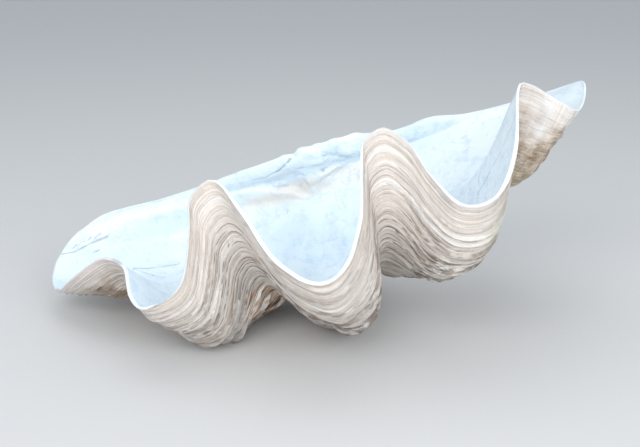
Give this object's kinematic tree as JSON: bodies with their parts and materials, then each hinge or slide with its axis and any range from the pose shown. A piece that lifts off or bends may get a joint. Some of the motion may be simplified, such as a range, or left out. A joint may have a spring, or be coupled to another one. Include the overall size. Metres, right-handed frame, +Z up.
{
  "type": "giant clam shell valve",
  "caption": "One heavy fluted half of a giant clam shell, resting on its rounded ribs with its smooth open bowl up and its wavy edge towards the viewer.",
  "frame": {"origin": "middle of the box's floor: the surface that the shell rests on, under the middle of its length and depth", "axes": "+X along the hinge line towards the shell's longer, higher end, +Y from the wavy edge back towards the hinge, +Z up"},
  "size_m": [0.4776, 0.2735, 0.2195],
  "materials": {
    "shell": "satin"
  },
  "bodies": {
    "root": {"clam_shell": "shell"}
  },
  "joints": []
}
